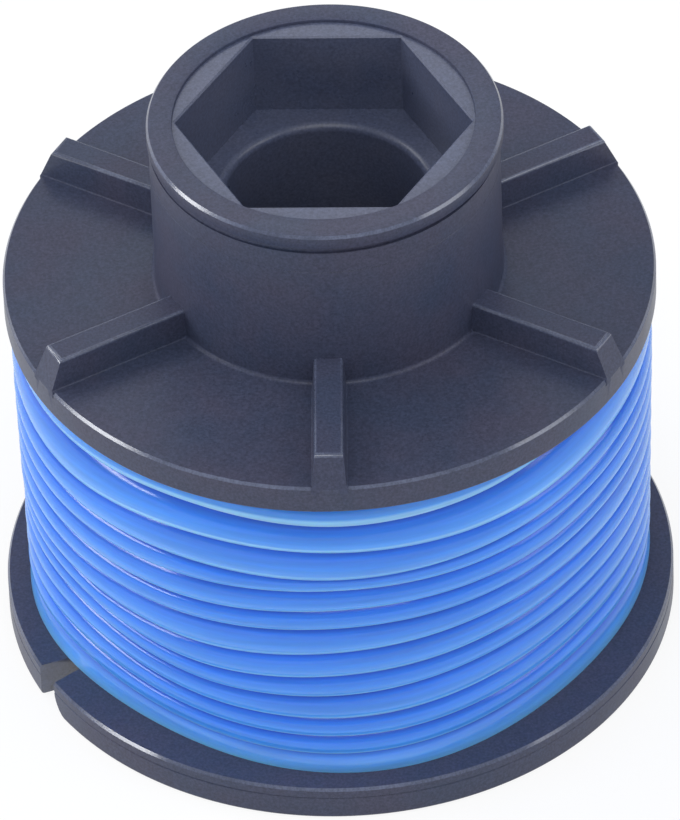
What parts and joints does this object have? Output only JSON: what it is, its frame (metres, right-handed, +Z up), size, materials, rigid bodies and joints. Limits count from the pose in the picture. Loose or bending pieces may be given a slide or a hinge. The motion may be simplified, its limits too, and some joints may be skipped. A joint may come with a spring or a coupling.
{
  "type": "trimmer line spool",
  "caption": "Wound trimmer line spool: two round flanges with line between them, ribs on the upper one, a line-catch notch, and a hub with a hexagon drive socket and bore.",
  "frame": {"origin": "middle of the lower flange's underside, on the bore's axis", "axes": "+Z up the bore, from the lower flange to the hub's mouth; -Y along one rib of the upper flange"},
  "size_m": [0.038, 0.038, 0.0353],
  "materials": {
    "spool_plastic": "moulded, satin",
    "nylon_line": "extruded, glossy"
  },
  "bodies": {
    "root": {"spool_body": "spool_plastic", "line_winding": "nylon_line"}
  },
  "joints": []
}
